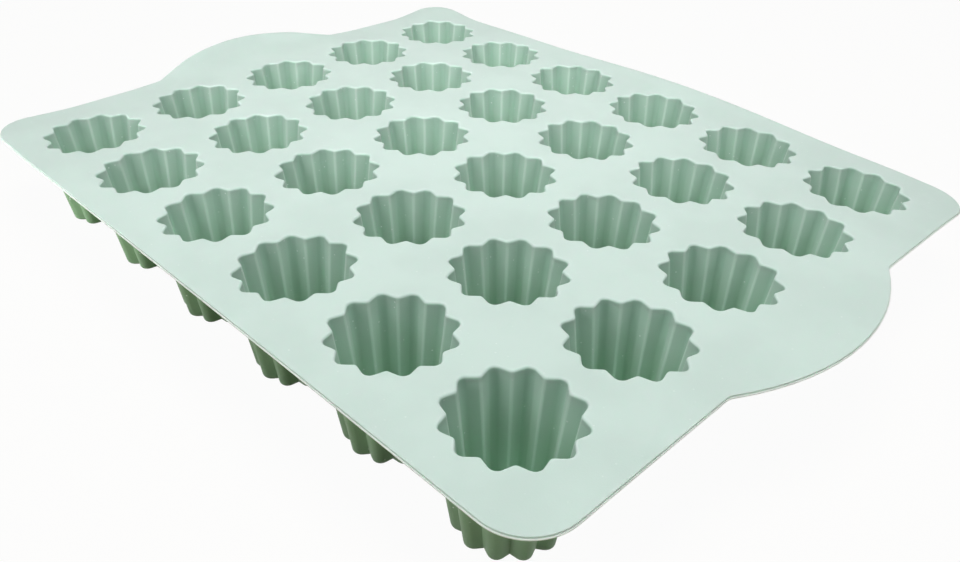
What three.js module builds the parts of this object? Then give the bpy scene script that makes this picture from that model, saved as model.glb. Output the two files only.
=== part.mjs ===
// Silicone mould for small fluted cakes: a thin sheet with a grip tab at each end, and rows of
// fluted cups that hang below it on a square grid.
// Millimetres, +Z up. X runs from tab to tab, and the cups stand on Z = 0.

import * as THREE from "three";

// Grid of cups.
const COLUMNS = 6; // along X
const ROWS = 5; // along Y
const WEB = 7; // sheet left between the flute tips of two neighbours

// Sheet.
const SHEET_THICKNESS = 1.4;
const END_LAND = 12.5; // from the outer flute tips to the short edge
const SIDE_LAND = 9.5; // from the outer flute tips to the long edge
const CORNER_RADIUS = 14.5;

// Grip tabs.
const TAB_WIDTH = 88; // chord of the tab's arc, along the short edge
const TAB_REACH = 12; // how far the arc stands out from the edge
const TAB_FILLET = 5; // hollow round where the arc leaves the edge

// Cups.
const FLUTES = 12;
const MOUTH_TIP_RADIUS = 18; // from the cup's axis to a flute's tip, at the mouth
const FLUTE_DEPTH = 2.3; // from the tips in to the ridges between them
const FLUTE_TIP_WIDTH = 2.2; // across a flute's tip, at the mouth
const CUP_DEPTH = 31.8; // from the sheet's top face down to the cup's floor
const DRAFT_DEGREES = 8; // lean of the cup's wall
const WALL = 1.2;
const FLOOR = 1.5;
const FOOT_ROUND = 1.4; // edge between the outer wall and the underside

// Look of the silicone.
const MINT = 0xcfdfd7;
const ROUGHNESS = 0.5;
const METALNESS = 0;

// Facets.
const ARC_STEPS = 4; // sides of half of each round edge of the sheet
const WALL_POINTS = 3; // points of a flute on the wall: both corners of its tip, and the ridge after it
const FOOT_POINTS = 2; // points of a flute on the foot: its tip, and the ridge after it

const SHEET_TOP = FLOOR + CUP_DEPTH;
const SHEET_UNDER = SHEET_TOP - SHEET_THICKNESS;
const PITCH = 2 * MOUTH_TIP_RADIUS + WEB;
const HALF_LENGTH = ((COLUMNS - 1) * PITCH) / 2 + MOUTH_TIP_RADIUS + END_LAND;
const HALF_WIDTH = ((ROWS - 1) * PITCH) / 2 + MOUTH_TIP_RADIUS + SIDE_LAND;
const FLUTE_ANGLE = (2 * Math.PI) / FLUTES;
const LEAN = Math.tan(THREE.MathUtils.degToRad(DRAFT_DEGREES));

function silicone() {
  return new THREE.MeshStandardMaterial({ color: MINT, roughness: ROUGHNESS, metalness: METALNESS });
}

function polar(radius, angle) {
  return new THREE.Vector2(radius * Math.cos(angle), radius * Math.sin(angle));
}

// Place of a cup's axis, counted from the corner at -X, -Y.
function cupCentre(row, column) {
  return new THREE.Vector2(
    (column - (COLUMNS - 1) / 2) * PITCH,
    (row - (ROWS - 1) / 2) * PITCH,
  );
}

// Inside outline of a cup at a height, anticlockwise: the two corners of each flute's tip, and the
// ridge after it. The flutes keep their angles, so they narrow as the wall leans in.
function insideOutline(height) {
  const tip = MOUTH_TIP_RADIUS - (SHEET_UNDER - height) * LEAN;
  const ridge = tip - FLUTE_DEPTH;
  const halfTip = Math.asin(FLUTE_TIP_WIDTH / 2 / MOUTH_TIP_RADIUS);
  const outline = [];
  for (let flute = 0; flute < FLUTES; flute++) {
    const middle = flute * FLUTE_ANGLE;
    outline.push(polar(tip, middle - halfTip));
    outline.push(polar(tip, middle + halfTip));
    outline.push(polar(ridge, middle + FLUTE_ANGLE / 2));
  }
  return outline;
}

// Outward unit normal of the edge between two points of an anticlockwise outline.
function edgeNormal(from, to) {
  return new THREE.Vector2(to.y - from.y, from.x - to.x).normalize();
}

// Outside outline of a cup at a height: every edge of the inside outline moved out by the wall.
function outsideOutline(height) {
  const inside = insideOutline(height);
  return inside.map((point, i) => {
    const before = edgeNormal(inside.at(i - 1), point);
    const after = edgeNormal(point, inside[(i + 1) % inside.length]);
    const mitre = WALL / (1 + before.dot(after));
    return point.clone().addScaledVector(before.add(after), mitre);
  });
}

// Edge of a cup's flat underside: the outside outline drawn in by the foot's round, with one point
// for each flute's tip and one for each ridge.
function footOutline() {
  const wall = outsideOutline(0);
  const foot = [];
  for (let i = 0; i < wall.length; i += WALL_POINTS) {
    const [tipStart, tipEnd, ridge] = wall.slice(i, i + WALL_POINTS);
    const tip = tipStart.clone().lerp(tipEnd, 0.5);
    foot.push(tip.setLength(tip.length() - FOOT_ROUND));
    foot.push(ridge.clone().setLength(ridge.length() - FOOT_ROUND));
  }
  return foot;
}

// A fluted cup with an even wall, about the Z axis. Its surface runs from the floor up the inside,
// over the rim, down the outside and round the foot to the underside.
function cupGeometry() {
  const vertices = [];
  const triangles = [];

  function addRing(outline, height) {
    const first = vertices.length / 3;
    outline.forEach((point) => vertices.push(point.x, point.y, height));
    return outline.map((_, i) => first + i);
  }

  function addTriangle(a, b, c) {
    if (a !== b && b !== c && c !== a) triangles.push(a, b, c);
  }

  function joinRings(from, to) {
    from.forEach((start, i) => {
      const next = (i + 1) % from.length;
      addTriangle(start, to[i], to[next]);
      addTriangle(start, to[next], from[next]);
    });
  }

  function fillRing(outline, ring, facesUp) {
    for (const [a, b, c] of THREE.ShapeUtils.triangulateShape(outline, [])) {
      if (facesUp) addTriangle(ring[a], ring[b], ring[c]);
      else addTriangle(ring[a], ring[c], ring[b]);
    }
  }

  const floorOutline = insideOutline(FLOOR);
  const underside = footOutline();
  const floorRing = addRing(floorOutline, FLOOR);
  const insideRim = addRing(insideOutline(SHEET_UNDER), SHEET_UNDER);
  const outsideRim = addRing(outsideOutline(SHEET_UNDER), SHEET_UNDER);
  const outsideLow = addRing(outsideOutline(FOOT_ROUND), FOOT_ROUND);
  const footRing = addRing(underside, 0);
  // Both corners of a flute's tip come down to the one tip point of the foot.
  const footUnderWall = [];
  for (let i = 0; i < footRing.length; i += FOOT_POINTS) {
    const [tip, ridge] = footRing.slice(i, i + FOOT_POINTS);
    footUnderWall.push(tip, tip, ridge);
  }

  fillRing(floorOutline, floorRing, true);
  joinRings(floorRing, insideRim);
  joinRings(insideRim, outsideRim);
  joinRings(outsideRim, outsideLow);
  joinRings(outsideLow, footUnderWall);
  fillRing(underside, footRing, false);

  const geometry = new THREE.BufferGeometry();
  geometry.setAttribute("position", new THREE.Float32BufferAttribute(vertices, 3));
  geometry.setIndex(triangles);
  geometry.computeVertexNormals();
  return geometry;
}

// Half of the sheet's edge, anticlockwise, from the middle of one long edge round the short edge and
// its tab to the middle of the other. side is 1 for the end at +X and -1 for the end at -X.
function addEnd(shape, side) {
  const turn = side > 0 ? 0 : Math.PI;
  const radius = TAB_REACH / 2 + TAB_WIDTH ** 2 / (8 * TAB_REACH);
  const arcCentre = HALF_LENGTH + TAB_REACH - radius;
  const filletX = HALF_LENGTH + TAB_FILLET;
  const filletY = Math.sqrt((radius + TAB_FILLET) ** 2 - (filletX - arcCentre) ** 2);
  const swing = Math.atan2(filletY, filletX - arcCentre);
  const cornerX = HALF_LENGTH - CORNER_RADIUS;
  const cornerY = HALF_WIDTH - CORNER_RADIUS;
  const quarter = Math.PI / 2;

  function arc(x, y, size, start, end, clockwise) {
    shape.absarc(side * x, side * y, size, turn + start, turn + end, clockwise);
  }

  arc(cornerX, -cornerY, CORNER_RADIUS, -quarter, 0, false);
  arc(filletX, -filletY, TAB_FILLET, Math.PI, Math.PI - swing, true);
  arc(arcCentre, 0, radius, -swing, swing, false);
  arc(filletX, filletY, TAB_FILLET, Math.PI + swing, Math.PI, true);
  arc(cornerX, cornerY, CORNER_RADIUS, 0, quarter, false);
}

// The sheet, with a fluted hole over each cup.
function sheetGeometry() {
  const shape = new THREE.Shape();
  addEnd(shape, 1);
  addEnd(shape, -1);
  const mouth = insideOutline(SHEET_UNDER);
  for (let row = 0; row < ROWS; row++) {
    for (let column = 0; column < COLUMNS; column++) {
      const centre = cupCentre(row, column);
      shape.holes.push(new THREE.Path(mouth.map((point) => point.clone().add(centre))));
    }
  }
  return new THREE.ExtrudeGeometry(shape, {
    depth: SHEET_THICKNESS,
    bevelEnabled: false,
    curveSegments: ARC_STEPS,
  });
}

function makeSheet() {
  const sheet = new THREE.Mesh(sheetGeometry(), silicone());
  sheet.name = "sheet";
  sheet.position.z = SHEET_UNDER;
  return sheet;
}

function makeCups() {
  const geometry = cupGeometry();
  const cups = new THREE.Group();
  for (let row = 0; row < ROWS; row++) {
    for (let column = 0; column < COLUMNS; column++) {
      const cup = new THREE.Mesh(geometry, silicone());
      const centre = cupCentre(row, column);
      cup.name = `cup_row${row + 1}_col${column + 1}`;
      cup.position.set(centre.x, centre.y, 0);
      cups.add(cup);
    }
  }
  return cups;
}

const mould = new THREE.Group();
mould.add(makeSheet(), makeCups());

export default mould;
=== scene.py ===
"""Dresses a silicone mould for small fluted cakes.

A thin sheet with a grip tab at each end carries five rows of six fluted cups. Lengths are in
metres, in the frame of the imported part: X runs from tab to tab, Z points up, and the cups stand
on Z = 0.
"""

import logging
import math
from dataclasses import dataclass, field, replace
from enum import Enum
from typing import Mapping, Sequence, Union

import bpy
import numpy as np
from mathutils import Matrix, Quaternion, Vector
from mathutils.geometry import delaunay_2d_cdt


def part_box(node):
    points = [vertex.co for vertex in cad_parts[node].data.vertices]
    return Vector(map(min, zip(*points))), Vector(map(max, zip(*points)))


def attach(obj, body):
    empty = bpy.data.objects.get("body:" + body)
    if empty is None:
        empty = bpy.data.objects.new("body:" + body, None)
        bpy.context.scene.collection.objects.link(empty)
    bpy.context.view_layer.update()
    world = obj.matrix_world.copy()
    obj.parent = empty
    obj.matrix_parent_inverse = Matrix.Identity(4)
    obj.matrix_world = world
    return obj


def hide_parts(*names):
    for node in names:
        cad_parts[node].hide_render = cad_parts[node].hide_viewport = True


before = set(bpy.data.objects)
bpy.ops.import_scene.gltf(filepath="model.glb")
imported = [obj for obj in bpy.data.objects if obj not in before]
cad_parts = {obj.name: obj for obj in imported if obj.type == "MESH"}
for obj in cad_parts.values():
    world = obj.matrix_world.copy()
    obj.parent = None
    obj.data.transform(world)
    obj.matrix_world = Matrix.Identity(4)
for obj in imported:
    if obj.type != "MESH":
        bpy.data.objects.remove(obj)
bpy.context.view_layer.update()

MM = 0.001
BODY = "root"
LOG = logging.getLogger("mould")

# Sizes of the CAD part that more than one piece shares.
PITCH = 43 * MM  # between the axes of two neighbouring cups
HALF_LENGTH = 138 * MM  # from the middle to a short edge of the sheet
HALF_WIDTH = 113.5 * MM  # from the middle to a long edge
TAB_REACH = 12 * MM  # how far a grip tab stands out past a short edge
SHEET_TOP = 33.3 * MM  # height of the sheet's top face
SHEET_THICKNESS = 1.4 * MM

INSIDE_LEAN = math.tan(math.radians(7.3))  # how much a cup's inside widens with height
SAME_POINT = 1e-7  # points of the sheet's edge that lie closer than this are one
FILL_GAP = 1e-9  # tolerance of the triangles that fill the flat

Operand = Union[float, "Socket"]
Feed = Union[bool, int, float, str, Sequence[float], "Socket", bpy.types.Material]
Colour = tuple[float, float, float]
Point = tuple[float, float, float]
BLACK: Colour = (0.0, 0.0, 0.0)
WHITE: Colour = (1.0, 1.0, 1.0)


class Socket:
    """An output of a node. Arithmetic on sockets adds the Math nodes that work it out."""

    def __init__(self, graph: "Graph", output: bpy.types.NodeSocket) -> None:
        """Keeps the graph, and the output that later nodes link to."""
        self.graph = graph
        self.output = output

    def __add__(self, other: Operand) -> "Socket":
        """Sum."""
        return self.graph.math("ADD", self, other)

    def __sub__(self, other: Operand) -> "Socket":
        """Difference."""
        return self.graph.math("SUBTRACT", self, other)

    def __rsub__(self, other: Operand) -> "Socket":
        """Difference from a number."""
        return self.graph.math("SUBTRACT", other, self)

    def __mul__(self, other: Operand) -> "Socket":
        """Product."""
        return self.graph.math("MULTIPLY", self, other)

    def __truediv__(self, other: Operand) -> "Socket":
        """Quotient."""
        return self.graph.math("DIVIDE", self, other)

    def __rtruediv__(self, other: Operand) -> "Socket":
        """Quotient of a number."""
        return self.graph.math("DIVIDE", other, self)

    def __mod__(self, other: Operand) -> "Socket":
        """Remainder."""
        return self.graph.math("MODULO", self, other)

    def __gt__(self, other: Operand) -> "Socket":
        """1 where this is larger, and otherwise 0."""
        return self.graph.math("GREATER_THAN", self, other)

    def __lt__(self, other: Operand) -> "Socket":
        """1 where this is smaller, and otherwise 0."""
        return self.graph.math("LESS_THAN", self, other)

    def floor(self) -> "Socket":
        """Whole number below."""
        return self.graph.math("FLOOR", self)

    def most(self, other: Operand) -> "Socket":
        """The larger of two values."""
        return self.graph.math("MAXIMUM", self, other)

    def ramp(self, low: float, high: float) -> "Socket":
        """Smooth rise from 0 at one value to 1 at another."""
        inputs = {"Value": self, "From Min": low, "From Max": high}
        return self.graph.node("ShaderNodeMapRange", inputs, interpolation_type="SMOOTHSTEP")

    def beside(self, key: str) -> "Socket":
        """Another output of the same node, by its name."""
        return Socket(self.graph, self.output.node.outputs[key])

    __radd__ = __add__
    __rmul__ = __mul__


class Graph:
    """Adds nodes to one tree."""

    def __init__(self, tree: bpy.types.NodeTree) -> None:
        """Keeps the tree."""
        self.tree = tree

    def add(
        self, kind: str, inputs: Mapping[str | int, Feed] | None = None, **settings: str | int
    ) -> bpy.types.Node:
        """Adds a node.

        Args:
            kind: The node's type.
            inputs: What feeds each of its inputs, by identifier, name or place: a socket is linked
                to it, and anything else becomes its own value.
            settings: Its settings, set before its inputs. "items" is how many items a switch has.

        Returns:
            The node.
        """
        made = self.tree.nodes.new(kind)
        for name, value in settings.items():
            if name == "items":
                while len(made.index_switch_items) < value:
                    made.index_switch_items.new()
            else:
                setattr(made, name, value)
        for key, value in (inputs or {}).items():
            entry = self._find(made.inputs, key)
            if isinstance(value, Socket):
                self.tree.links.new(value.output, entry)
            else:
                entry.default_value = value
        return made

    def node(
        self,
        kind: str,
        inputs: Mapping[str | int, Feed] | None = None,
        output: str | int = 0,
        **settings: str | int,
    ) -> Socket:
        """Adds a node, and gives one of its outputs, by identifier, name or place."""
        return Socket(self, self._find(self.add(kind, inputs, **settings).outputs, output))

    @staticmethod
    def _find(sockets: bpy.types.bpy_prop_collection, key: str | int) -> bpy.types.NodeSocket:
        """Finds one of a node's sockets by its identifier, or else by its name or place."""
        by_identifier = {socket.identifier: socket for socket in sockets}
        return by_identifier[key] if key in by_identifier else sockets[key]

    def math(self, operation: str, *operands: Operand) -> Socket:
        """Adds a Math node on some values, and gives its result."""
        return self.node("ShaderNodeMath", dict(enumerate(operands)), operation=operation)

    def vector(self, operation: str, *operands: Feed, scale: Operand | None = None) -> Socket:
        """Adds a Vector Math node.

        Args:
            operation: What it does.
            operands: Its vectors, in order.
            scale: The factor, for SCALE.

        Returns:
            Its vector, or for LENGTH its value.
        """
        inputs: dict[str | int, Feed] = dict(enumerate(operands))
        if scale is not None:
            inputs["Scale"] = scale
        output = "Value" if operation == "LENGTH" else "Vector"
        return self.node("ShaderNodeVectorMath", inputs, output, operation=operation)

    def combine(self, x: Operand, y: Operand, z: Operand) -> Socket:
        """Makes a vector of three values."""
        return self.node("ShaderNodeCombineXYZ", {"X": x, "Y": y, "Z": z})

    def separate(self, vector: Socket) -> tuple[Socket, Socket, Socket]:
        """Takes a vector apart into its three values."""
        x = self.node("ShaderNodeSeparateXYZ", {"Vector": vector}, "X")
        return x, x.beside("Y"), x.beside("Z")

    def blend(self, share: Operand, first: Feed, second: Feed) -> Socket:
        """Mixes two colours: a share of 0 gives the first, and 1 the second."""
        inputs = {"Factor_Float": share, "A_Color": rgba(first), "B_Color": rgba(second)}
        return self.node("ShaderNodeMix", inputs, "Result_Color", data_type="RGBA")

    def surface(self, share: Socket, first: Socket, second: Socket) -> None:
        """Ends a material with a mix of two shaders: a share of 0 gives the first, 1 the second."""
        mixed = self.node("ShaderNodeMixShader", {"Fac": share, 1: first, 2: second})
        self.add("ShaderNodeOutputMaterial", {"Surface": mixed})


def rgba(colour: Feed) -> Feed:
    """Gives a plain colour full cover, and leaves a socket as it is."""
    return colour if isinstance(colour, Socket) else (*colour, 1.0)


def cleared(block: bpy.types.Material | bpy.types.World) -> Graph:
    """Empties the nodes of a material or of a world.

    Args:
        block: The material or the world.

    Returns:
        The graph to fill.
    """
    block.use_nodes = True
    block.node_tree.nodes.clear()
    return Graph(block.node_tree)


class Mark(Enum):
    """Attributes that tell the finish where on the moulding a point lies."""

    DEPTH = "depth_below_top"
    RIDGE = "ridge_share"
    OUTSIDE = "outside_share"
    EDGE = "edge_share"


@dataclass(frozen=True)
class SiliconeFinish:
    """Moulded silicone: matt mint, a pale bloom on the open deck, slight mottling and a few specks
    of
    dust, with painted light: shade deep in the cups and under the sheet, a highlight along the
    ridges and a paler side to the sheet.

    Attributes:
        bloom: Colour of the open deck.
        edge: Paler colour of the sheet's side, below the round of the top face: painted light.
        mint: Colour of the cups' walls just below the lips.
        deep: Darker, greener colour of the cups' walls near the floors: painted shade deep in the
            cups.
        ridge: Paler colour along the ridges of a cup: a painted highlight.
        outside: Darker colour of the cups' outsides and of the sheet's underside: painted shade
            under the sheet.
        patch_depth: How much darker the deeper patches are.
        patch_ends: Values of the pattern between which a patch sets in.
        bloom_ends: Depths between which the bloom thins out below the deck.
        deep_shade_ends: Depths between which the walls darken from mint to the deep colour, a
            painted shade.
        ridge_highlight_ends: Shares of a ridge between which its painted highlight sets in.
        dust: Colour of the specks.
        dust_roughness: Their roughness.
        patch: Size of the patches.
        patch_detail: How many finer layers they have.
        grain: Size of the fine grain left by the tool.
        grain_detail: How many finer layers it has.
        speck_spacing: Rough distance between places where a speck may lie.
        speck: Radius of a speck.
        speck_fade: Shares of that radius between which a speck fades out.
        speck_least: How strongly the faintest speck shows.
        speck_share: Share of those places that hold one.
        deck_dust: How strongly a speck shows on the deck, next to one on a wall.
        roughness: Middle roughness.
        roughness_change: How far the patches move it either way.
        grain_depth: Height of the fine grain.
        refraction: Index of refraction of silicone.
        shine: Strength of the reflection, as a share of twice the plain one.
        glow: Share of the light that scatters below the surface.
        glow_depth: How far it travels there.
        glow_tint: That distance for each colour, as a share.
    """

    bloom: Colour = (0.568, 0.69, 0.635)
    edge: Colour = (0.78, 0.87, 0.82)
    mint: Colour = (0.415, 0.595, 0.495)
    deep: Colour = (0.38, 0.57, 0.435)
    ridge: Colour = (0.585, 0.74, 0.65)
    outside: Colour = (0.295, 0.47, 0.285)
    patch_depth: float = 0.05
    patch_ends: tuple[float, float] = (0.35, 0.65)
    bloom_ends: tuple[float, float] = (0.1 * MM, 0.9 * MM)
    deep_shade_ends: tuple[float, float] = (1.0 * MM, 24.0 * MM)
    ridge_highlight_ends: tuple[float, float] = (0.1, 1.0)
    dust: Colour = (0.8, 0.87, 0.83)
    dust_roughness: float = 0.9
    patch: float = 28 * MM
    patch_detail: float = 3.0
    grain: float = 0.45 * MM
    grain_detail: float = 2.0
    speck_spacing: float = 2.6 * MM
    speck: float = 0.26 * MM
    speck_fade: tuple[float, float] = (0.5, 1.3)
    speck_least: float = 0.35
    speck_share: float = 0.4
    deck_dust: float = 0.4
    roughness: float = 0.5
    roughness_change: float = 0.06
    grain_depth: float = 0.012 * MM
    refraction: float = 1.41
    shine: float = 0.2
    glow: float = 0.8
    glow_depth: float = 1.2 * MM
    glow_tint: Colour = (0.82, 1.0, 0.9)

    def material(self) -> bpy.types.Material:
        """Builds the finish.

        Returns:
            The material.
        """
        made = bpy.data.materials.new("mint_silicone")
        made.diffuse_color = rgba(self.bloom)
        graph = cleared(made)
        place = graph.node("ShaderNodeTexCoord", None, "Object")
        patches = self._noise(graph, place, self.patch, self.patch_detail)
        grain = self._noise(graph, place, self.grain, self.grain_detail)
        depth = self._mark(graph, Mark.DEPTH)
        below = depth.ramp(*self.bloom_ends)
        # The walls darken towards the cups' floors: painted shade deep in the cups.
        wall = graph.blend(depth.ramp(*self.deep_shade_ends), self.mint, self.deep)
        # Paler colour along the ridges: a painted highlight.
        ridge_highlight = self._mark(graph, Mark.RIDGE).ramp(*self.ridge_highlight_ends)
        inside = graph.blend(ridge_highlight, wall, self.ridge)
        # Outsides and the sheet's underside take a darker colour: painted shade under the sheet.
        cup = graph.blend(self._mark(graph, Mark.OUTSIDE), inside, self.outside)
        # The sheet's side takes a paler colour: painted light.
        deck_and_edge_light = graph.blend(self._mark(graph, Mark.EDGE), self.bloom, self.edge)
        even = graph.blend(below, deck_and_edge_light, cup)
        shade = patches.ramp(*self.patch_ends) * self.patch_depth
        colour = graph.blend(shade, even, BLACK)
        relief = graph.node(
            "ShaderNodeBump", {"Height": grain, "Distance": self.grain_depth, "Strength": 1.0}
        )
        silicone = graph.node(
            "ShaderNodeBsdfPrincipled",
            {
                "Base Color": colour,
                "Roughness": (patches - 0.5) * (2 * self.roughness_change) + self.roughness,
                "Normal": relief,
                "IOR": self.refraction,
                "Specular IOR Level": self.shine,
                "Subsurface Weight": self.glow,
                "Subsurface Radius": self.glow_tint,
                "Subsurface Scale": self.glow_depth,
            },
            subsurface_method="RANDOM_WALK",
        )
        specks = self._specks(graph, place) * (below * (1 - self.deck_dust) + self.deck_dust)
        dust = graph.node(
            "ShaderNodeBsdfPrincipled",
            {"Base Color": rgba(self.dust), "Roughness": self.dust_roughness},
        )
        graph.surface(specks, silicone, dust)
        return made

    @staticmethod
    def _mark(graph: Graph, mark: Mark) -> Socket:
        """Reads one of the moulding's attributes."""
        return graph.node("ShaderNodeAttribute", None, "Fac", attribute_name=mark.value)

    @staticmethod
    def _noise(graph: Graph, place: Socket, size: float, detail: float) -> Socket:
        """Adds a cloudy pattern with lumps of a size, about 0.5 in the middle."""
        inputs = {"Vector": place, "Scale": 1 / size, "Detail": detail}
        return graph.node("ShaderNodeTexNoise", inputs)

    def _specks(self, graph: Graph, place: Socket) -> Socket:
        """Adds specks of dust.

        Args:
            graph: The material's graph.
            place: Where on the object.

        Returns:
            How strongly a speck shows, and 0 beside one.
        """
        inputs = {"Vector": place, "Scale": 1 / self.speck_spacing}
        away = graph.node("ShaderNodeTexVoronoi", inputs, "Distance")
        chance, size, _ = graph.separate(away.beside("Color"))
        reach = self.speck / self.speck_spacing
        near = 1.0 - away.ramp(*(reach * end for end in self.speck_fade))
        strength = self.speck_least + (1 - self.speck_least) * size
        return near * (chance < self.speck_share) * strength


@dataclass(frozen=True)
class FloorFinish:
    """Plain pale floor that shows white and keeps a soft shadow.

    Attributes:
        colour: Colour that the object's light meets.
        white: Share of plain white that a direct look adds.
    """

    colour: Colour = (0.5, 0.47, 0.35)
    white: float = 0.96

    def material(self) -> bpy.types.Material:
        """Builds the finish.

        Returns:
            The material.
        """
        made = bpy.data.materials.new("pale_floor")
        graph = cleared(made)
        paint = graph.node("ShaderNodeBsdfDiffuse", {"Color": rgba(self.colour)})
        glow = graph.node("ShaderNodeEmission", {"Strength": 1.0})
        graph.surface(seen_directly(graph) * self.white, paint, glow)
        return made


def seen_directly(graph: Graph) -> Socket:
    """Tells a look, a mirror image or a look through glass from other light.

    Args:
        graph: The graph of a material or of the world.

    Returns:
        1 for a look, and otherwise 0.
    """
    direct = graph.node("ShaderNodeLightPath", None, "Is Camera Ray")
    look = direct.most(direct.beside("Is Glossy Ray"))
    return look.most(direct.beside("Is Transmission Ray"))


@dataclass(frozen=True)
class FlutedOutline:
    """Outline of a cup's inside: round flutes that meet in blunt ridges, lobes on both axes.

    Attributes:
        flutes: How many.
        outer_corner: From the axis to where the flanks of a flute would meet.
        inner_corner: From the axis to where the flanks of a ridge would meet.
        flute_round: Round of a flute.
        ridge_round: Round of a ridge.
        least_round: Smallest round that is left when the outline grows.
        steps: Sides of each round.
    """

    flutes: int = 12
    outer_corner: float = 18.5 * MM
    inner_corner: float = 15.1 * MM
    flute_round: float = 2.1 * MM
    ridge_round: float = 1.3 * MM
    least_round: float = 0.15 * MM
    steps: int = 6

    def slopes(self) -> tuple[float, float]:
        """Half the angle between two flanks.

        Returns:
            That of a flute, and that of a ridge.
        """
        half = math.pi / self.flutes
        across = self.inner_corner * math.sin(half)
        down = self.outer_corner - self.inner_corner * math.cos(half)
        flute = math.atan2(across, down)
        return flute, flute + half

    def grown(self, by: float) -> "FlutedOutline":
        """The same outline with every flank moved out by a distance."""
        flute, ridge = self.slopes()
        return replace(
            self,
            outer_corner=self.outer_corner + by / math.sin(flute),
            inner_corner=self.inner_corner + by / math.sin(ridge),
            flute_round=self.flute_round + by,
            ridge_round=max(self.ridge_round - by, self.least_round),
        )

    def points(self, wider: float = 0.0) -> np.ndarray:
        """Points of the outline, anticlockwise.

        Args:
            wider: How much further from the axis each point lies.

        Returns:
            One row for each point.
        """
        flute, ridge = self.slopes()
        step = 2 * math.pi / self.flutes
        share = np.linspace(-1.0, 1.0, self.steps + 1)
        corners = np.arange(self.flutes)[:, None] * step
        tips = self._round(
            corners, self.outer_corner - self.flute_round / math.sin(flute), self.flute_round,
            corners + share * (math.pi / 2 - flute),
        )
        between = corners + step / 2
        ridges = self._round(
            between, self.inner_corner + self.ridge_round / math.sin(ridge), self.ridge_round,
            between + math.pi - share * (math.pi / 2 - ridge),
        )
        ring = np.concatenate([tips, ridges], axis=1).reshape(-1, 2)
        return ring * (1 + wider / np.linalg.norm(ring, axis=1, keepdims=True))

    def ridge_share(self) -> np.ndarray:
        """How near each point is to a ridge: 0 in the middle of a flute, 1 in that of a ridge."""
        stage = np.arange(self.flutes * 2 * (self.steps + 1)) - self.steps / 2
        return 0.5 - 0.5 * np.cos(stage * math.pi / (self.steps + 1))

    @staticmethod
    def _round(middle: np.ndarray, out: float, radius: float, turn: np.ndarray) -> np.ndarray:
        """Points of one round of each flute or ridge.

        Args:
            middle: Angle of each round's centre about the axis.
            out: Distance of the centres from the axis.
            radius: Radius of the round.
            turn: Angles of the points about their centre.

        Returns:
            Points by flute, then by place on the round.
        """
        x = out * np.cos(middle) + radius * np.cos(turn)
        y = out * np.sin(middle) + radius * np.sin(turn)
        return np.stack([x, y], axis=-1)


@dataclass(frozen=True)
class Curl:
    """A soft rise of the sheet about one place.

    Attributes:
        x: The place, along X.
        y: The place, along Y.
        along: How far it reaches along X.
        across: How far it reaches along Y.
        rise: How much the sheet rises at the place.
    """

    x: float
    y: float
    along: float
    across: float
    rise: float

    def lift(self, x: np.ndarray, y: np.ndarray) -> np.ndarray:
        """How far the sheet rises at places along X and Y."""
        off = ((x - self.x) / self.along) ** 2 + ((y - self.y) / self.across) ** 2
        return self.rise * np.clip(1.0 - off, 0.0, None) ** 2


@dataclass(frozen=True)
class Sag:
    """How the soft sheet lies: a slight twist and bow, edges that curl, a back tab that stands up.

    Each value is a drop at the last row or column of cups. A point sinks in proportion to its
    height, so the feet stay on the ground.

    Attributes:
        column: From the middle to the last column, along X.
        row: From the middle to the last row, along Y.
        top: Height of the sheet's top face.
        bow_along: Bow along X.
        bow_across: Bow along Y.
        level: Share of a bow that lifts the middle instead.
        twist: Drop of one pair of corners, and rise of the other.
        lean: Drop that grows across and along.
        curl: Drop at all four corners.
        slip: Small uneven drop along.
        tab_lift: Rise of the back tab's end.
        tab_root: Where along X the tab starts to rise.
        tab_end: Where its end is.
        tab_half: Half the width that rises fully.
        tab_fade: Over how far the rise dies out beside it.
        curls: Curls of the far long edge and of three corners.
    """

    column: float = 2.5 * PITCH
    row: float = 2 * PITCH
    top: float = SHEET_TOP
    bow_along: float = 0.672 * MM
    bow_across: float = 0.386 * MM
    level: float = 0.4
    twist: float = 1.177 * MM
    lean: float = 0.456 * MM
    curl: float = 0.311 * MM
    slip: float = 0.082 * MM
    tab_lift: float = 6 * MM
    tab_root: float = -127 * MM
    tab_end: float = -HALF_LENGTH - TAB_REACH
    tab_half: float = 26 * MM
    tab_fade: float = 34 * MM
    curls: tuple[Curl, ...] = (
        Curl(20 * MM, HALF_WIDTH, 75 * MM, 12 * MM, 2.1 * MM),
        Curl(-HALF_LENGTH, HALF_WIDTH, 32 * MM, 32 * MM, 3.0 * MM),
        Curl(-HALF_LENGTH, -HALF_WIDTH, 34 * MM, 34 * MM, 1.7 * MM),
        Curl(HALF_LENGTH, HALF_WIDTH, 32 * MM, 32 * MM, -0.6 * MM),
    )

    def drop(self, x: np.ndarray, y: np.ndarray) -> np.ndarray:
        """How far the sheet's top face sinks.

        Args:
            x: Places along X.
            y: Places along Y.

        Returns:
            The drops.
        """
        u, v = x / self.column, y / self.row
        bows = self.bow_along * (u * u - self.level) + self.bow_across * (v * v - self.level)
        corners = self.twist * u * v + self.lean * u * u * v + self.curl * u * u * v * v
        along = np.clip((x - self.tab_root) / (self.tab_end - self.tab_root), 0.0, None)
        beside = np.clip((self.tab_half + self.tab_fade - np.abs(y)) / self.tab_fade, 0.0, 1.0)
        lift = self.tab_lift * along**2 * beside * beside * (3 - 2 * beside)
        lift += sum(curl.lift(x, y) for curl in self.curls)
        return bows + corners + self.slip * u * v * v - lift

    def lay(self, mesh: bpy.types.Mesh) -> None:
        """Moves the points of a piece to where they lie.

        Args:
            mesh: The piece's mesh.
        """
        points = np.empty(len(mesh.vertices) * 3)
        mesh.vertices.foreach_get("co", points)
        points = points.reshape(-1, 3)
        points[:, 2] -= self.drop(points[:, 0], points[:, 1]) * points[:, 2] / self.top
        mesh.vertices.foreach_set("co", points.ravel())
        mesh.update()


class End(Enum):
    """The sheet's two short ends, by the sign of X."""

    FRONT = 1
    BACK = -1


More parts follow.
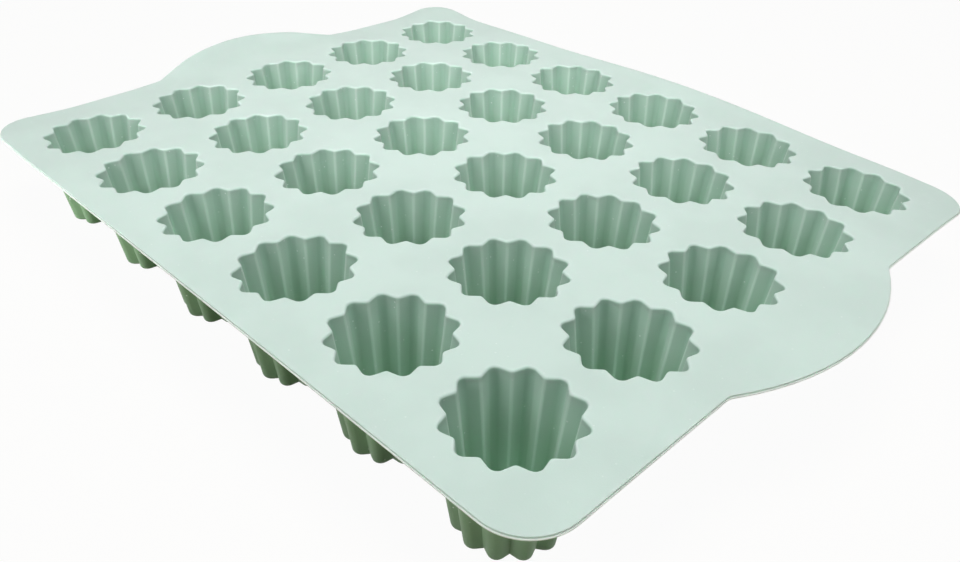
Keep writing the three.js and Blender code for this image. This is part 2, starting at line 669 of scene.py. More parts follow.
@dataclass
class MouldSheet:
    """The sheet: a stepped edge, round corners, a grip tab at each end, a soft lip at each mouth.

    Attributes:
        outline: Inside of a cup where the sheet's underside meets it.
        centres: Places of the cups.
        node: The CAD node that it stands for.
        half_length: From the middle to a short edge.
        half_width: From the middle to a long edge.
        thickness: Of the sheet.
        top: Height of the top face.
        corner: Radius of a corner.
        tab_width: Chord of a tab's arc.
        tab_reach: How far the arc stands out.
        tab_fillet: Hollow round beside a tab.
        edge_round: Round of the top face's edge.
        ledge: How far the lower half of the edge stands out past the top face.
        ledge_drop: How far the ledge lies below the top face.
        ledge_hollow: Hollow round where the ledge meets the upper half.
        ledge_round: Round of the ledge.
        under_round: Round between the ledge and the underside.
        under_rise: How much higher the underside lies there.
        lip_round: Round of a mouth's lip.
        lean: How much a cup's inside widens for each unit of height.
        margin: Flat strip beside a round, which keeps the flat flat.
        spacing: Distance between points on the flat.
        clear: Least distance from those to a ring's points, in spacings.
        arc_steps: Sides of each arc of the outer edge.
        round_steps: Sides of a lip or an edge, seen in section.
        vertices: Blocks of points made so far.
        marks: Their attributes.
        faces: Faces made so far.
    """

    outline: FlutedOutline
    centres: np.ndarray
    node: str = "sheet"
    half_length: float = HALF_LENGTH
    half_width: float = HALF_WIDTH
    thickness: float = SHEET_THICKNESS
    top: float = SHEET_TOP
    corner: float = 14.5 * MM
    tab_width: float = 88 * MM
    tab_reach: float = TAB_REACH
    tab_fillet: float = 5 * MM
    edge_round: float = 0.15 * MM
    ledge: float = 0.3 * MM
    ledge_drop: float = 0.6 * MM
    ledge_hollow: float = 0.08 * MM
    ledge_round: float = 0.2 * MM
    under_round: float = 0.28 * MM
    under_rise: float = 0.3 * MM
    lip_round: float = 0.7 * MM
    lean: float = INSIDE_LEAN
    margin: float = 0.5 * MM
    spacing: float = 5 * MM
    clear: float = 0.4
    arc_steps: int = 16
    round_steps: int = 5
    vertices: list[np.ndarray] = field(default_factory=list)
    marks: dict[Mark, list[np.ndarray]] = field(default_factory=dict)
    faces: list[tuple[int, ...]] = field(default_factory=list)

    def build(self, finish: bpy.types.Material, sag: Sag) -> bpy.types.Object:
        """Makes the sheet.

        Args:
            finish: Its material.
            sag: How it lies.

        Returns:
            The sheet's object.
        """
        under = self.top - self.thickness
        edge = self._edge_rings()
        borders = [edge, *(self._mouth_rings(centre) for centre in self.centres)]
        flat = self._flat([rings[0] for rings in borders])
        upper = self._add(self._level(flat, self.top), 0.0)
        lower = self._add(self._level(flat, under), self.thickness, outside=1.0)
        triangles = self._triangulate(flat, [len(rings[0]) for rings in borders])
        self.faces.extend((upper + a, upper + b, upper + c) for a, b, c in triangles)
        self.faces.extend((lower + a, lower + c, lower + b) for a, b, c in triangles)
        start = 0
        for rings in borders:
            outer, size = rings is edge, len(rings[0])
            ridge = 0.0 if outer else self.outline.ridge_share()
            first = upper + start + np.arange(size)
            for ring in rings[1:]:
                fall = self.top - ring[:, 2]
                # The edge's rings keep depth 0, so they stay pale; below the top round they take
                # the side's painted light.
                depth, edge_share = (0.0, self._edge_share(fall)) if outer else (fall, 0.0)
                second = self._add(ring, depth, ridge, edge=edge_share) + np.arange(size)
                self._strip(first, second, outer)
                first = second
            self._strip(first, lower + start + np.arange(size), outer)
            start += size
        mesh = bpy.data.meshes.new("mould_sheet")
        points = np.concatenate(self.vertices)
        mesh.from_pydata(points.tolist(), [], self.faces)
        for mark, blocks in self.marks.items():
            values = np.concatenate(blocks).astype(np.float32)
            mesh.attributes.new(mark.value, "FLOAT", "POINT").data.foreach_set("value", values)
        return self.dress(mesh, finish, sag)

    def dress(self, mesh: bpy.types.Mesh, finish: bpy.types.Material, sag: Sag) -> bpy.types.Object:
        """Lays the sheet, gives it its finish and puts it on its body.

        Args:
            mesh: Its mesh.
            finish: Its material.
            sag: How it lies.

        Returns:
            The sheet's object.
        """
        sag.lay(mesh)
        mesh.materials.append(finish)
        smooth(mesh)
        made = bpy.data.objects.new(mesh.name, mesh)
        return settle(made, self.node)

    def _add(
        self,
        points: np.ndarray,
        depth: np.ndarray | float,
        ridge: np.ndarray | float = 0.0,
        outside: float = 0.0,
        edge: np.ndarray | float = 0.0,
    ) -> int:
        """Adds points.

        Args:
            points: The points.
            depth: How far each lies below the deck, or 0 on the sheet's edge.
            ridge: How near each is to the middle of a ridge.
            outside: 1 for points below the sheet, which take the painted shade of the outsides, and
                otherwise 0.
            edge: How much of the sheet side's painted light each shows.

        Returns:
            The number of the first point.
        """
        first = sum(len(block) for block in self.vertices)
        self.vertices.append(points)
        marks = {Mark.DEPTH: depth, Mark.RIDGE: ridge, Mark.OUTSIDE: outside, Mark.EDGE: edge}
        for mark, value in marks.items():
            self.marks.setdefault(mark, []).append(np.broadcast_to(value, len(points)))
        return first

    def _edge_share(self, fall: np.ndarray) -> np.ndarray:
        """How much of the sheet side's painted light shows, by the fall from the top face to the
        ledge.
        """
        return np.clip((fall - self.edge_round) / (self.ledge_drop - self.edge_round), 0.0, 1.0)

    def _strip(self, first: np.ndarray, second: np.ndarray, outer: bool) -> None:
        """Joins an upper ring to a lower one, of the outer edge or else of a mouth."""
        for a, b, c, d in zip(first, second, np.roll(second, -1), np.roll(first, -1)):
            self.faces.append((a, b, c, d) if outer else (d, c, b, a))

    def _edge_ring(self, inset: float) -> np.ndarray:
        """The sheet's outer edge, anticlockwise.

        Args:
            inset: How far inside the true edge.

        Returns:
            Points of the edge in plan.
        """
        radius = self.tab_reach / 2 + self.tab_width**2 / (8 * self.tab_reach)
        arc_x = self.half_length + self.tab_reach - radius
        fillet_x = self.half_length + self.tab_fillet
        fillet_y = math.sqrt((radius + self.tab_fillet) ** 2 - (fillet_x - arc_x) ** 2)
        swing = math.atan2(fillet_y, fillet_x - arc_x)
        corner_x, corner_y = self.half_length - self.corner, self.half_width - self.corner
        quarter = math.pi / 2
        arcs = (
            (corner_x, -corner_y, self.corner - inset, -quarter, 0.0),
            (fillet_x, -fillet_y, self.tab_fillet + inset, math.pi, math.pi - swing),
            (arc_x, 0.0, radius - inset, -swing, swing),
            (fillet_x, fillet_y, self.tab_fillet + inset, math.pi + swing, math.pi),
            (corner_x, corner_y, self.corner - inset, 0.0, quarter),
        )
        bends = []
        for end in End:
            for x, y, size, start, stop in arcs:
                turn = np.linspace(start, stop, self.arc_steps + 1)
                bend = np.stack([x + size * np.cos(turn), y + size * np.sin(turn)], axis=-1)
                bends.append(bend * end.value)
        ring = []
        for bend, after in zip(bends, bends[1:] + bends[:1]):
            gap = np.linalg.norm(after[0] - bend[-1])
            count = round(gap / self.spacing) if gap > 2 * self.spacing else 1
            share = np.linspace(0.0, 1.0, count + 1)[1:-1, None]
            ring.extend([bend, bend[-1] * (1 - share) + after[0] * share])
        points = np.concatenate(ring)
        apart = np.linalg.norm(points - np.roll(points, 1, axis=0), axis=1)
        return points[apart > SAME_POINT]

    def _quarter(self) -> tuple[np.ndarray, np.ndarray]:
        """Steps of a quarter round: shares that fall from 1 to 0, and that rise from 0 to 1."""
        turn = np.linspace(0.0, math.pi / 2, self.round_steps + 1)
        return 1 - np.sin(turn), 1 - np.cos(turn)

    def _edge_rings(self) -> list[np.ndarray]:
        """Rings from the top face over the outer edge to the underside.

        Returns:
            The first ring in plan, on the flat, then rings in space.
        """
        near, far = self._quarter()
        under, step = self.top - self.thickness, self.top - self.ledge_drop
        inset = [
            self.ledge + self.edge_round * near,
            self.ledge - self.ledge_hollow * far,
            self.ledge_round * near,
            self.under_round * far,
        ]
        height = [
            self.top - self.edge_round * far,
            step + self.ledge_hollow * near,
            step - self.ledge_round * far,
            under + self.under_rise + self.under_round * near,
        ]
        profile = zip(np.concatenate(inset), np.concatenate(height))
        rings = [self._level(self._edge_ring(across), z) for across, z in profile]
        inner = self._edge_ring(self.ledge + self.edge_round + self.margin)
        return [inner, *rings]

    def _mouth_rings(self, centre: np.ndarray) -> list[np.ndarray]:
        """Rings from the top face over a mouth's lip and down to the underside.

        Args:
            centre: The mouth's centre.

        Returns:
            The first ring in plan, on the flat, then rings in space.
        """
        lip = self.lip_round
        rings = [
            self._level(self._mouth(lip * out) + centre, self.top - lip * down)
            for out, down in zip(*self._quarter())
        ]
        rings.append(self._level(self.outline.points() + centre, self.top - self.thickness))
        inner = self._mouth(lip + self.margin) + centre
        return [inner, *rings]

    def _mouth(self, out: float) -> np.ndarray:
        """A mouth's outline about its centre, below the lip's round, moved out by a distance."""
        wider = self.lean * (self.thickness - self.lip_round)
        return self.outline.grown(out).points(wider)

    @staticmethod
    def _level(ring: np.ndarray, height: float) -> np.ndarray:
        """Puts a ring in plan at a height."""
        return np.c_[ring, np.full(len(ring), height)]

    def _flat(self, rings: list[np.ndarray]) -> np.ndarray:
        """Points of the flat: its rings, then points spread over it.

        Args:
            rings: The edge's ring and those of the mouths, in plan.

        Returns:
            All the points in plan.
        """
        reach_x, reach_y = self.half_length + self.tab_reach, self.half_width
        xs = np.arange(-reach_x, reach_x, self.spacing) + self.spacing / 2
        ys = np.arange(-reach_y, reach_y, self.spacing) + self.spacing / 2
        spread = np.stack(np.meshgrid(xs, ys), axis=-1).reshape(-1, 2)
        border = np.concatenate(rings)
        near = np.array([np.min(np.sum((border - p) ** 2, axis=1)) for p in spread])
        kept = (near > (self.clear * self.spacing) ** 2) & self._on_flat(spread, rings[0])
        return np.concatenate([border, spread[kept]])

    def _on_flat(self, points: np.ndarray, edge: np.ndarray) -> np.ndarray:
        """Tells which points lie on the flat, inside the edge and outside the mouths.

        Args:
            points: Points in plan.
            edge: The edge's ring.

        Returns:
            True for each point on the flat.
        """
        mouth = self._mouth(self.lip_round + self.margin)
        reach = np.max(np.linalg.norm(mouth, axis=1))
        inside = self._within(points, edge)
        for centre in self.centres:
            near = np.linalg.norm(points - centre, axis=1) < reach
            inside[near] &= ~self._within(points[near] - centre, mouth)
        return inside

    @staticmethod
    def _within(points: np.ndarray, ring: np.ndarray) -> np.ndarray:
        """Tells which points lie inside a ring, by how often a line from each crosses it.

        Args:
            points: Points in plan.
            ring: The ring.

        Returns:
            True for each point inside.
        """
        x, y = points[:, :1], points[:, 1:]
        after = np.roll(ring, -1, axis=0)
        crosses = (ring[:, 1] > y) != (after[:, 1] > y)
        rise = np.where(after[:, 1] == ring[:, 1], 1.0, after[:, 1] - ring[:, 1])
        cut = ring[:, 0] + (y - ring[:, 1]) / rise * (after[:, 0] - ring[:, 0])
        return np.sum(crosses & (x < cut), axis=1) % 2 == 1

    def _triangulate(self, flat: np.ndarray, sizes: Sequence[int]) -> list[tuple[int, ...]]:
        """Fills the flat with triangles.

        Args:
            flat: Its points, rings first.
            sizes: How many points each ring has, that of the sheet's edge first.

        Returns:
            The triangles, anticlockwise.
        """
        edges, start = [], 0
        for size in sizes:
            edges.extend((start + i, start + (i + 1) % size) for i in range(size))
            start += size
        corners = [Vector(p) for p in flat]
        _, _, filled, sources, _, _ = delaunay_2d_cdt(corners, edges, [], 0, FILL_GAP)
        triangles = np.array([[sources[i][0] for i in face] for face in filled])
        middle = flat[triangles].mean(axis=1)
        kept = triangles[self._on_flat(middle, flat[: sizes[0]])]
        a, b, c = (flat[kept[:, i]] for i in range(3))
        turn = (b[:, 0] - a[:, 0]) * (c[:, 1] - a[:, 1]) - (b[:, 1] - a[:, 1]) * (c[:, 0] - a[:, 0])
        kept[turn < 0] = kept[turn < 0][:, ::-1]
        return [tuple(row) for row in kept.tolist()]


class CupInput(Enum):
    """Inputs of the tree that makes a cup: name, and type of socket."""

    FLUTES = ("Flutes", "Int")
    STEPS = ("Sides of a round", "Int")
    OUTER = ("Inside outer corner", "Float")
    INNER = ("Inside inner corner", "Float")
    FLUTE_ROUND = ("Inside flute round", "Float")
    RIDGE_ROUND = ("Inside ridge round", "Float")
    BACK_OUTER = ("Outside outer corner", "Float")
    BACK_INNER = ("Outside inner corner", "Float")
    BACK_FLUTE_ROUND = ("Outside flute round", "Float")
    BACK_RIDGE_ROUND = ("Outside groove round", "Float")
    TOP = ("Top of the sheet", "Float")
    RIM = ("Rim height", "Float")
    FLOOR = ("Floor height", "Float")
    LEAN = ("Inside lean", "Float")
    BACK_LEAN = ("Outside lean", "Float")
    FLOOR_ROUND = ("Floor round", "Float")
    FOOT_ROUND = ("Foot round", "Float")
    ROOT_ROUND = ("Root round", "Float")
    MARGIN = ("Flat margin", "Float")
    CENTRE = ("Centre", "Vector")
    FINISH = ("Finish", "Material")


class CupTree:
    """Geometry Nodes tree that makes one fluted cup.

    One round-cornered star is the inside of the rim and another the outside. A path with rounded
    bends runs from the middle of the floor up the inside, over the rim, down the outside and round
    the foot to the middle of the underside, and every point of the stars follows it.
    """

    SIDE_STEP = 1 * MM  # Y of the path's points on the outside; those on the inside have Y = 0
    # The painted ridge highlight fades in between these heights above the floor.
    RIDGE_HIGHLIGHT_START = (0.1 * MM, 2.0 * MM)  # heights above the floor between which a ridge sets in
    SEAM = 0.001 * MM  # points closer than this are joined

    def __init__(self) -> None:
        """Builds the tree."""
        self.tree = bpy.data.node_groups.new("fluted_cup", "GeometryNodeTree")
        self.tree.interface.new_socket(
            "Geometry", in_out="OUTPUT", socket_type="NodeSocketGeometry"
        )
        self.identifiers = {
            entry: self.tree.interface.new_socket(
                entry.value[0], in_out="INPUT", socket_type="NodeSocket" + entry.value[1]
            ).identifier
            for entry in CupInput
        }
        self.graph = Graph(self.tree)
        source = self.graph.node("NodeGroupInput")
        self.given = {entry: source.beside(entry.value[0]) for entry in CupInput}
        self._finish(self._loft())

    def make(self, name: str, values: Mapping[CupInput, Feed]) -> bpy.types.Mesh:
        """Makes one cup.

        Args:
            name: Name of its mesh.
            values: What each input gets.

        Returns:
            The cup as a plain mesh.
        """
        holder = bpy.data.objects.new(name, bpy.data.meshes.new(name + "_seed"))
        bpy.context.scene.collection.objects.link(holder)
        modifier = holder.modifiers.new("fluted_cup", "NODES")
        modifier.node_group = self.tree
        for entry, value in values.items():
            modifier[self.identifiers[entry]] = value
        graph = bpy.context.evaluated_depsgraph_get()
        mesh = bpy.data.meshes.new_from_object(
            holder.evaluated_get(graph), preserve_all_data_layers=True, depsgraph=graph
        )
        holder.modifiers.remove(modifier)
        seed = holder.data
        bpy.data.objects.remove(holder)
        bpy.data.meshes.remove(seed)
        mesh.name = name
        for slot in reversed(range(len(mesh.materials))):
            if mesh.materials[slot] is None:
                mesh.materials.pop(index=slot)
        return mesh

    def _star(
        self, outer: CupInput, inner: CupInput, flute_round: CupInput, ridge_round: CupInput
    ) -> Socket:
        """Adds a star with rounded corners.

        Args:
            outer: Input for the corners of the flutes.
            inner: Input for the corners of the ridges.
            flute_round: Input for the round of a flute.
            ridge_round: Input for the round of a ridge.

        Returns:
            The star's points.
        """
        graph, given = self.graph, self.given
        star = graph.node(
            "GeometryNodeCurveStar",
            {
                "Points": given[CupInput.FLUTES],
                "Inner Radius": given[inner],
                "Outer Radius": given[outer],
                "Twist": 0.0,
            },
        )
        odd = graph.node("GeometryNodeInputIndex") % 2.0
        radius = given[flute_round] * (1.0 - odd) + given[ridge_round] * odd
        return self._rounded(star, radius)

    def _rounded(self, curve: Socket, radius: Socket) -> Socket:
        """Rounds a curve's corners.

        Args:
            curve: The curve.
            radius: Radius at each of its points.

        Returns:
            The points of the rounded curve.
        """
        rounded = self.graph.node(
            "GeometryNodeFilletCurve",
            {
                "Curve": curve,
                "Count": self.given[CupInput.STEPS],
                "Radius": radius,
                "Limit Radius": False,
            },
            mode="POLY",
        )
        return self.graph.node(
            "GeometryNodeCurveToPoints", {"Curve": rounded}, "Points", mode="EVALUATED"
        )

    def _path(self) -> Socket:
        """Adds the path that the stars follow.

        Returns:
            The path's points. X is how far a star is drawn in, Y which star it is, Z the height.
        """
        graph = self.graph
        rim, floor = self.given[CupInput.RIM], self.given[CupInput.FLOOR]
        lean, back_lean = self.given[CupInput.LEAN], self.given[CupInput.BACK_LEAN]
        floor_round = self.given[CupInput.FLOOR_ROUND]
        foot_round = self.given[CupInput.FOOT_ROUND]
        root_round = self.given[CupInput.ROOT_ROUND]
        margin = self.given[CupInput.MARGIN]
        low, back_low = floor + floor_round + margin, foot_round + margin
        high = rim - root_round - margin
        in_floor, in_foot = lean * (rim - floor), back_lean * rim
        inside, outside = 0.0, self.SIDE_STEP
        # How far the star is drawn in, which star it is, the height, and the round of the bend.
        stops: list[tuple[Operand, Operand, Operand, Operand]] = [
            (in_floor + floor_round * 2.0 + margin, inside, floor, 0.0),
            (in_floor + floor_round + margin, inside, floor, 0.0),
            (in_floor, inside, floor, floor_round),
            (lean * (rim - low), inside, low, 0.0),
            (0.0, inside, rim, 0.0),
            (0.0 - root_round - margin, outside, rim, 0.0),
            (0.0, outside, rim, root_round),
            (back_lean * (rim - high), outside, high, 0.0),
            (back_lean * (rim - back_low), outside, back_low, 0.0),
            (in_foot, outside, 0.0, foot_round),
            (in_foot + foot_round + margin, outside, 0.0, 0.0),
            (in_foot + foot_round * 2.0 + margin, outside, 0.0, 0.0),
        ]
        places = self._pick("VECTOR", [graph.combine(*place) for *place, _ in stops])
        radius = self._pick("FLOAT", [bend for *_, bend in stops])
        points = graph.node("GeometryNodePoints", {"Count": len(stops), "Position": places})
        return self._rounded(graph.node("GeometryNodePointsToCurves", {"Points": points}), radius)

    def _pick(self, kind: str, items: Sequence[Operand]) -> Socket:
        """Adds a switch that gives each point its own item.

        Args:
            kind: The items' data type.
            items: The items, in the order of the points.

        Returns:
            The item of each point.
        """
        inputs: dict[str | int, Feed] = {f"Item_{i}": item for i, item in enumerate(items)}
        inputs["Index"] = self.graph.node("GeometryNodeInputIndex")
        return self.graph.node("GeometryNodeIndexSwitch", inputs, data_type=kind, items=len(items))

    def _count(self, points: Socket) -> Socket:
        """Counts points."""
        inputs, output = {"Geometry": points}, "Point Count"
        return self.graph.node(
            "GeometryNodeAttributeDomainSize", inputs, output, component="POINTCLOUD"
        )

    def _sample(self, points: Socket, index: Socket) -> Socket:
        """Place of one of some points, found by its number."""
        place = self.graph.node("GeometryNodeInputPosition")
        return self.graph.node(
            "GeometryNodeSampleIndex",
            {"Geometry": points, "Value": place, "Index": index},
            data_type="FLOAT_VECTOR",
            domain="POINT",
        )

    def _loft(self) -> Socket:
        """Lets the stars follow the path.

        Returns:
            The cup's surface, open along one line.
        """
        graph, given = self.graph, self.given
        inside = self._star(
            CupInput.OUTER, CupInput.INNER, CupInput.FLUTE_ROUND, CupInput.RIDGE_ROUND
        )
        outside = self._star(
            CupInput.BACK_OUTER,
            CupInput.BACK_INNER,
            CupInput.BACK_FLUTE_ROUND,
            CupInput.BACK_RIDGE_ROUND,
        )
        path = self._path()
        around, along = self._count(inside), self._count(path)
        grid = graph.node("GeometryNodeMeshGrid", {"Vertices X": around + 1.0, "Vertices Y": along})
        index = graph.node("GeometryNodeInputIndex")
        turn, stage = (index / along).floor() % around, index % along
        drawn_in, side, height = graph.separate(self._sample(path, stage))
        near, far = self._sample(inside, turn), self._sample(outside, turn)
        step = graph.vector("SUBTRACT", far, near)
        point = graph.vector("ADD", near, graph.vector("SCALE", step, scale=side / self.SIDE_STEP))
        # 0 at the path's two ends, which lie on the cup's axis.
        off_axis = (stage > 0.5) * (stage < along - 1.5)
        radius = (graph.vector("LENGTH", point) - drawn_in) * off_axis
        ring = graph.vector("SCALE", graph.vector("NORMALIZE", point), scale=radius)
        lifted = graph.vector("ADD", ring, graph.combine(0.0, 0.0, height))
        place = graph.vector("ADD", lifted, given[CupInput.CENTRE])
        moved = graph.node("GeometryNodeSetPosition", {"Geometry": grid, "Position": place})
        marked = self._store(moved, Mark.DEPTH, given[CupInput.TOP] - height)
        # Share of a ridge, faded out near the floor: where the finish paints its ridge highlight.
        period = (given[CupInput.STEPS] + 1.0) / math.pi
        wave = graph.math("COSINE", (turn - given[CupInput.STEPS] / 2.0) / period)
        above_floor = (height - given[CupInput.FLOOR]).ramp(*self.RIDGE_HIGHLIGHT_START)
        marked = self._store(marked, Mark.RIDGE, (0.5 - 0.5 * wave) * above_floor)
        # Points on the outside: where the finish paints the shade under the sheet.
        return self._store(marked, Mark.OUTSIDE, side / self.SIDE_STEP)

    def _store(self, geometry: Socket, mark: Mark, value: Socket) -> Socket:
        """Keeps a value with each point of a geometry, as one of the marks."""
        inputs = {"Geometry": geometry, "Name": mark.value, "Value": value}
        return self.graph.node(
            "GeometryNodeStoreNamedAttribute", inputs, data_type="FLOAT", domain="POINT"
        )

    def _finish(self, surface: Socket) -> None:
        """Closes the surface, turns it the right way and gives it its finish.

        Args:
            surface: The cup's open surface.
        """
        graph = self.graph
        closed = graph.node(
            "GeometryNodeMergeByDistance", {"Geometry": surface, "Distance": self.SEAM}
        )
        turned = graph.node("GeometryNodeFlipFaces", {"Mesh": closed})
        real = graph.node("GeometryNodeRealizeInstances", {"Geometry": turned})
        dressed = graph.node(
            "GeometryNodeSetMaterial", {"Geometry": real, "Material": self.given[CupInput.FINISH]}
        )
        graph.add("NodeGroupOutput", {"Geometry": dressed})


@dataclass
class FlutedCups:
    """The cups: fluted, drafted shells with a flat floor and a rounded foot.

    Attributes:
        outline: Inside of a cup at its rim.
        nodes: The CAD nodes that the cups stand for, with their places.
        wall: Wall at the rim.
        groove_round: Round of a groove between two flutes, outside.
        seat: How far the rim reaches into the sheet.
        top: Height of the sheet's top face.
        rim: Height of the rim.
        floor: Thickness of the floor.
        lean: How much the inside narrows for each unit of depth.
        back_lean: How much the outside narrows for each unit of depth.
        floor_round: Round between the inside and the floor.
        foot_round: Round between the outside and the underside.
        root_round: Hollow round between the outside and the sheet.
        margin: Flat strip beside a round, which keeps the flat flat.
    """

    outline: FlutedOutline
    nodes: Mapping[str, np.ndarray]
    wall: float = 1.5 * MM
    groove_round: float = 0.3 * MM
    seat: float = 0.05 * MM
    top: float = SHEET_TOP
    rim: float = SHEET_TOP - SHEET_THICKNESS
    floor: float = 1.5 * MM
    lean: float = INSIDE_LEAN
    back_lean: float = math.tan(math.radians(8.2))
    floor_round: float = 1.0 * MM
    foot_round: float = 2.0 * MM
    root_round: float = 0.8 * MM
    margin: float = 0.6 * MM

    def build(self, finish: bpy.types.Material, sag: Sag) -> list[bpy.types.Object]:
        """Makes the cups.

        Args:
            finish: Their material.
            sag: How the sheet lies.

        Returns:
            The cups' objects.
        """
        tree = CupTree()
        back = self.outline.grown(self.wall)
        sizes: dict[CupInput, Feed] = {
            CupInput.FLUTES: self.outline.flutes,
            CupInput.STEPS: self.outline.steps,
            CupInput.OUTER: self.outline.outer_corner,
            CupInput.INNER: self.outline.inner_corner,
            CupInput.FLUTE_ROUND: self.outline.flute_round,
            CupInput.RIDGE_ROUND: self.outline.ridge_round,
            CupInput.BACK_OUTER: back.outer_corner,
            CupInput.BACK_INNER: back.inner_corner,
            CupInput.BACK_FLUTE_ROUND: back.flute_round,
            CupInput.BACK_RIDGE_ROUND: self.groove_round,
            CupInput.TOP: self.top,
            CupInput.RIM: self.rim + self.seat,
            CupInput.FLOOR: self.floor,
            CupInput.LEAN: self.lean,
            CupInput.BACK_LEAN: self.back_lean,
            CupInput.FLOOR_ROUND: self.floor_round,
            CupInput.FOOT_ROUND: self.foot_round,
            CupInput.ROOT_ROUND: self.root_round,
            CupInput.MARGIN: self.margin,
            CupInput.FINISH: finish,
        }
        made = []
        for node, centre in self.nodes.items():
            place = (float(centre[0]), float(centre[1]), 0.0)
            mesh = tree.make("mould_" + node, {**sizes, CupInput.CENTRE: place})
            made.append(self.dress(mesh, node, sag))
        return made

    @staticmethod
    def dress(mesh: bpy.types.Mesh, node: str, sag: Sag) -> bpy.types.Object:
        """Lays a cup and puts it on its body.

        Args:
            mesh: Its mesh, with its finish.
            node: The CAD node that it stands for.
            sag: How the sheet lies.

        Returns:
            The cup's object.
        """
        sag.lay(mesh)
        smooth(mesh)
        return settle(bpy.data.objects.new(mesh.name, mesh), node)


def smooth(mesh: bpy.types.Mesh, crease: float = math.radians(40)) -> None:
    """Shades a mesh smooth, apart from edges that turn by the crease's angle or more."""
    mesh.shade_smooth()
    mesh.set_sharp_from_angle(angle=crease)


def settle(made: bpy.types.Object, node: str) -> bpy.types.Object:
    """Puts a finished piece on its body in place of a CAD node.

    Args:
        made: The piece.
        node: The CAD node that it stands for.

    Returns:
        The piece.
    """
    bpy.context.scene.collection.objects.link(made)
    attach(made, BODY)
    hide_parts(node)
    LOG.info("%s stands for %s, %d faces", made.name, node, len(made.data.polygons))
    return made


@dataclass(frozen=True)
class Lamp:
    """A soft light: a square box, or a spot whose edge fades out.

    Attributes:
        name: Its name.
        place: Where it hangs.
        aim: What it points at.
        size: Side of the box, or radius of the spot's lens.
        power: In watts.
        cone: Degrees across the spot's beam, or None for a box.
        shines: Whether it makes highlights.
    """

    name: str
    place: Point
    aim: Point
    size: float
    power: float
    cone: float | None = None
    shines: bool = True

    def hang(self) -> None:
        """Adds the light."""
        lamp = bpy.data.lights.new(self.name, "AREA" if self.cone is None else "SPOT")
        lamp.energy = self.power
        if self.cone is None:
            lamp.shape = "SQUARE"
            lamp.size = self.size
        else:
            lamp.shadow_soft_size = self.size
            lamp.spot_size = math.radians(self.cone)
            lamp.spot_blend = 1.0
        made = bpy.data.objects.new(self.name, lamp)
        made.location = self.place
        beam = Vector(self.aim) - Vector(self.place)
        made.rotation_euler = beam.to_track_quat("-Z", "Y").to_euler()
        made.visible_glossy = self.shines
        bpy.context.scene.collection.objects.link(made)


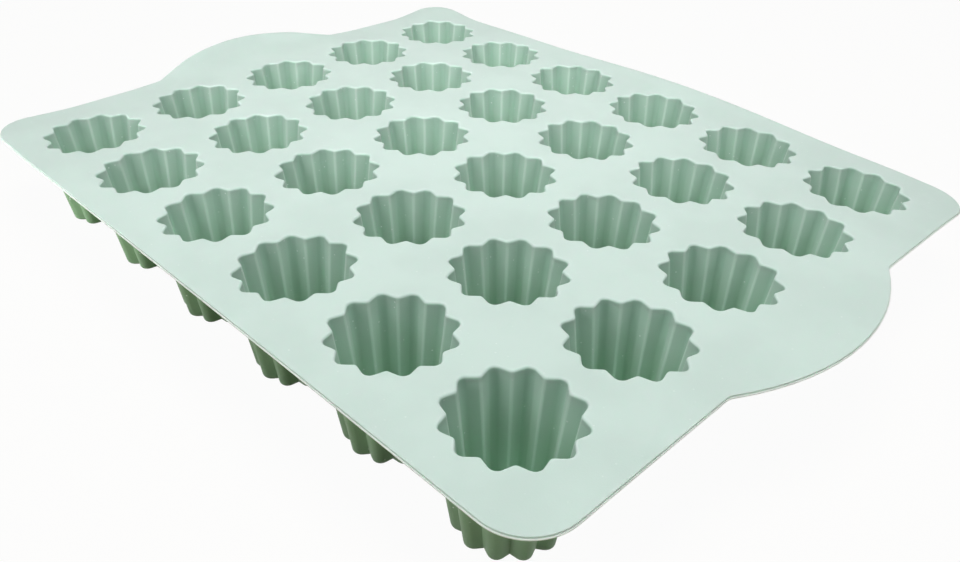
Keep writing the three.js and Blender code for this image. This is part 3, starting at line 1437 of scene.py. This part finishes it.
@dataclass(frozen=True)
class Studio:
    """Pale floor, soft lights and an even white surround.

    A box hangs above and one at each side of the camera. Two spots reach the far rows, a low one
    the outsides of the cups along the left edge, and one shines from behind.

    Attributes:
        floor_size: Side of the floor.
        floor_gap: How far the floor lies below the feet.
        surround: Strength of the surround's light on the mould.
        white: How white the surround looks, the same as the floor.
        lamps: The boxes and the spots.
    """

    floor_size: float = 8.0
    floor_gap: float = 0.05 * MM
    surround: float = 0.03
    white: float = 0.965
    lamps: tuple[Lamp, ...] = (
        Lamp("top_box", (0.058, -0.055, 0.55), (0.058, -0.055, 0.0), 0.26, 2.36),
        Lamp("left_box", (-0.322, -1.314, 0.848), (0.0, 0.0, 0.03), 0.9, 7.9),
        Lamp("right_box", (1.299, 0.378, 0.848), (0.0, 0.0, 0.03), 0.9, 5.0),
        Lamp("left_spot", (0.095, -0.506, 0.34), (-0.137, 0.131, 0.03), 0.06, 4.1, 30),
        Lamp("right_spot", (0.509, -0.074, 0.34), (-0.137, 0.131, 0.03), 0.06, 3.4, 30),
        Lamp("low_spot", (-0.13, -0.45, 0.03), (-0.13, -0.086, 0.018), 0.03, 2.6, 36, False),
        Lamp("back_spot", (-1.15, 1.1, 0.12), (0.0, 0.0, 0.02), 0.15, 24.0, 24, False),
    )

    def build(self) -> None:
        """Adds the floor, the lights and the surround."""
        half = self.floor_size / 2
        mesh = bpy.data.meshes.new("floor")
        corners = [(-half, -half), (half, -half), (half, half), (-half, half)]
        mesh.from_pydata([(x, y, -self.floor_gap) for x, y in corners], [], [(0, 1, 2, 3)])
        mesh.materials.append(FloorFinish().material())
        floor = bpy.data.objects.new("floor", mesh)
        bpy.context.scene.collection.objects.link(floor)
        for lamp in self.lamps:
            lamp.hang()
        self._surround()
        bpy.context.scene.view_settings.view_transform = "Standard"

    def _surround(self) -> None:
        """Adds the surround, which looks plain white."""
        world = bpy.data.worlds.new("surround")
        graph = cleared(world)
        strength = seen_directly(graph) * (self.white - self.surround) + self.surround
        light = graph.node("ShaderNodeBackground", {"Color": rgba(WHITE), "Strength": strength})
        graph.add("ShaderNodeOutputWorld", {"Surface": light})
        bpy.context.scene.world = world


@dataclass(frozen=True)
class PhotoCamera:
    """Camera at the photograph's place.

    Attributes:
        place: Where it stands.
        turn: Its turn, as a quaternion.
        lens: Focal length for the sensor, in millimetres.
        sensor: Width of the sensor, in millimetres.
        width: Width of the photograph, in pixels.
        shift: How far its middle lies off the lens's axis, in pixels.
        nearest: Distance of the nearest thing that it sees.
    """

    place: Point = (205.83 * MM, -197.52 * MM, 169.2 * MM)
    turn: tuple[float, float, float, float] = (0.8116066, 0.4391589, 0.1733946, 0.3440474)
    lens: float = 32.769
    sensor: float = 36.0
    width: int = 960
    shift: tuple[float, float] = (-1.874, -0.854)
    nearest: float = 10 * MM

    def stand(self) -> None:
        """Adds the camera and makes it the scene's own."""
        data = bpy.data.cameras.new("photo_camera")
        data.lens = self.lens
        data.sensor_width = self.sensor
        data.sensor_fit = "HORIZONTAL"
        data.shift_x, data.shift_y = (pixels / self.width for pixels in self.shift)
        data.clip_start = self.nearest
        made = bpy.data.objects.new("photo_camera", data)
        made.rotation_mode = "QUATERNION"
        made.location = self.place
        made.rotation_quaternion = Quaternion(self.turn)
        bpy.context.scene.collection.objects.link(made)
        bpy.context.scene.camera = made


def cup_places() -> dict[str, np.ndarray]:
    """Finds the CAD cups.

    Returns:
        Each cup's place in plan, by the name of its node.
    """
    places = {}
    for node in sorted(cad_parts):
        if node.startswith("cup_"):
            low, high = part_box(node)
            places[node] = np.array((low + high)[:2]) / 2
    return places


def main() -> None:
    """Builds the mould, the studio and the camera, and logs each piece's faces."""
    logging.basicConfig(level=logging.INFO, format="%(name)s: %(message)s")
    finish = SiliconeFinish().material()
    outline = FlutedOutline()
    sag = Sag()
    cups = cup_places()
    MouldSheet(outline, np.array(list(cups.values()))).build(finish, sag)
    FlutedCups(outline, cups).build(finish, sag)
    Studio().build()
    PhotoCamera().stand()


if __name__ == "__main__":
    main()
